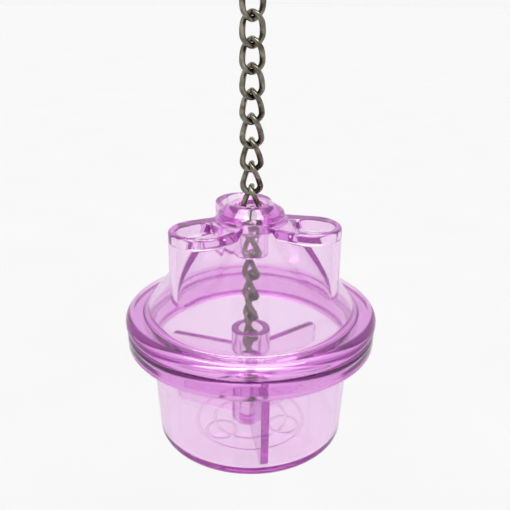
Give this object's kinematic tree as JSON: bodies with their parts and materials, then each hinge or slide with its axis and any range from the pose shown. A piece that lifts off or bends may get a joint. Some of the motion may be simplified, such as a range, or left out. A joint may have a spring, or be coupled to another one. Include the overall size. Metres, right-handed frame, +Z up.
{
  "type": "hanging foraging treat dispenser",
  "caption": "Clear violet treat cup with a lift-off ported cover, threaded on a curb chain and hung from a quick link; a cage bird spins the cover to reach the food.",
  "frame": {"origin": "bearing point inside the quick link's top bend, on the chain's axis, where the cage wire or hook carries the dispenser", "axes": "+Z up along the hanging chain; +Y towards the pod of the back port, 8 degrees off it; +X to the right"},
  "size_m": [0.102, 0.102, 0.2257],
  "materials": {
    "clear_violet": "clear injection-moulded polycarbonate, polished",
    "chain_steel": "nickel-plated, bright with a warm grey tone",
    "link_steel": "zinc-plated steel, satin"
  },
  "bodies": {
    "quick_link": {"quick_link_body": "link_steel"},
    "quick_link_nut": {"quick_link_nut": "link_steel"},
    "link_01": {"chain_link_01": "chain_steel"},
    "link_02": {"chain_link_02": "chain_steel"},
    "link_03": {"chain_link_03": "chain_steel"},
    "link_04": {"chain_link_04": "chain_steel"},
    "link_05": {"chain_link_05": "chain_steel"},
    "link_06": {"chain_link_06": "chain_steel"},
    "cup": {"cup": "clear_violet", "divider": "clear_violet", "anchor_pin": "chain_steel", "chain_link_07": "chain_steel", "chain_link_08": "chain_steel", "chain_link_09": "chain_steel", "chain_link_10": "chain_steel", "chain_link_11": "chain_steel", "chain_link_12": "chain_steel", "chain_link_13": "chain_steel", "chain_link_14": "chain_steel", "chain_link_15": "chain_steel", "chain_link_16": "chain_steel", "chain_link_17": "chain_steel", "chain_link_18": "chain_steel"},
    "bush": {"guide_bush": "clear_violet"},
    "cover": {"cover": "clear_violet"}
  },
  "joints": [
    {"name": "swing_01", "type": "hinge", "parent": "quick_link", "child": "link_01", "pos_m": [0, 0, -0.03775], "axis": [0.5948, 0.8039, 0], "range_deg": [-35, 35]},
    {"name": "swing_02", "type": "hinge", "parent": "link_01", "child": "link_02", "pos_m": [0, 0, -0.04377], "axis": [0.7314, -0.682, 0], "range_deg": [-35, 35]},
    {"name": "swing_03", "type": "hinge", "parent": "link_02", "child": "link_03", "pos_m": [0, 0, -0.05523], "axis": [-0.682, -0.7314, 0], "range_deg": [-35, 35]},
    {"name": "swing_04", "type": "hinge", "parent": "link_03", "child": "link_04", "pos_m": [0, 0, -0.06185], "axis": [-0.5592, 0.829, 0], "range_deg": [-35, 35]},
    {"name": "swing_05", "type": "hinge", "parent": "link_04", "child": "link_05", "pos_m": [0, 0, -0.07331], "axis": [0.829, 0.5592, 0], "range_deg": [-35, 35]},
    {"name": "swing_06", "type": "hinge", "parent": "link_05", "child": "link_06", "pos_m": [0, 0, -0.07993], "axis": [0.3584, -0.9336, 0], "range_deg": [-35, 35]},
    {"name": "swing_07", "type": "hinge", "parent": "link_06", "child": "cup", "pos_m": [0, 0, -0.09139], "axis": [-0.9336, -0.3584, 0], "range_deg": [-35, 35]},
    {"name": "nut_travel", "type": "slide", "parent": "quick_link", "child": "quick_link_nut", "axis": [0, 0, 1], "range_m": [0, 0.0077]},
    {"name": "cover_lift", "type": "slide", "parent": "cup", "child": "bush", "axis": [0, 0, 1], "range_m": [0, 0.027]},
    {"name": "cover_spin", "type": "hinge", "parent": "bush", "child": "cover", "pos_m": [0, 0, -0.12756], "axis": [0, 0, 1], "continuous": true}
  ]
}
